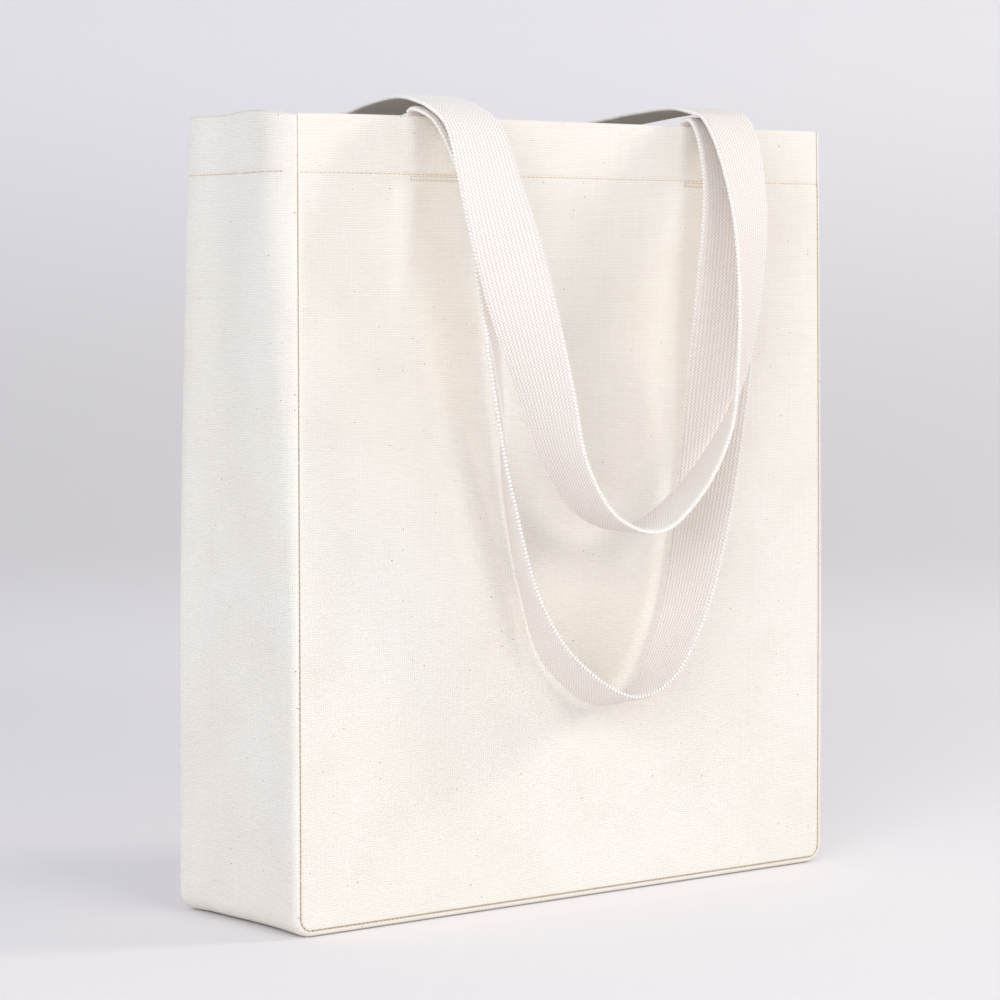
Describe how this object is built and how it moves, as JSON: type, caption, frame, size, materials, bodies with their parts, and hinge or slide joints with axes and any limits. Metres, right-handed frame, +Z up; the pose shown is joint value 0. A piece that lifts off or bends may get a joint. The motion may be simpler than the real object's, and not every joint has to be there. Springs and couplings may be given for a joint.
{
  "type": "canvas tote bag",
  "caption": "Boxed canvas tote bag, open at the top, with a hemmed mouth and two webbing loop handles that lift.",
  "frame": {"origin": "middle of the base, on the surface that the bag stands on", "axes": "+X across the front panel to the right, +Y from the front panel to the back panel, +Z up"},
  "size_m": [0.3564, 0.1669, 0.4173],
  "materials": {
    "canvas_panel": "natural unbleached plain-weave cotton canvas, ribbed across, with small dark seed flecks",
    "canvas_gusset": "the same natural canvas, cut as one strip for the sides and base",
    "binding_tape": "plain cotton tape",
    "webbing": "natural cotton webbing in a zigzag twill with a corded selvedge",
    "thread": "natural cotton sewing thread"
  },
  "bodies": {
    "root": {"front_panel": "canvas_panel", "back_panel": "canvas_panel", "gusset": "canvas_gusset", "front_seam_binding": "binding_tape", "back_seam_binding": "binding_tape", "front_seam_stitch": "thread", "back_seam_stitch": "thread", "hem_stitch": "thread", "front_handle_left_end": "webbing", "front_handle_right_end": "webbing", "back_handle_left_end": "webbing", "back_handle_right_end": "webbing", "front_left_bartack": "thread", "front_right_bartack": "thread", "back_left_bartack": "thread", "back_right_bartack": "thread"},
    "front_handle": {"front_handle": "webbing"},
    "back_straps": {"back_handle_left_strap": "webbing", "back_handle_right_strap": "webbing"},
    "back_handle": {"back_handle": "webbing"}
  },
  "joints": [
    {"name": "front_handle_lift", "type": "hinge", "parent": "root", "child": "front_handle", "pos_m": [0, -0.052, 0.4095], "axis": [-1, 0, 0], "range_deg": [0, 175]},
    {"name": "back_straps_lift", "type": "hinge", "parent": "root", "child": "back_straps", "pos_m": [0, 0.045, 0.408], "axis": [-1, 0, 0], "range_deg": [0, 70]},
    {"name": "back_handle_lift", "type": "hinge", "parent": "back_straps", "child": "back_handle", "pos_m": [0, -0.0608, 0.4116], "axis": [-1, 0, 0], "range_deg": [0, 105]}
  ],
  "couplings": [
    {"joint": "back_straps_lift", "follows": "front_handle_lift", "ratio": 0.4},
    {"joint": "back_handle_lift", "follows": "front_handle_lift", "ratio": 0.6}
  ]
}
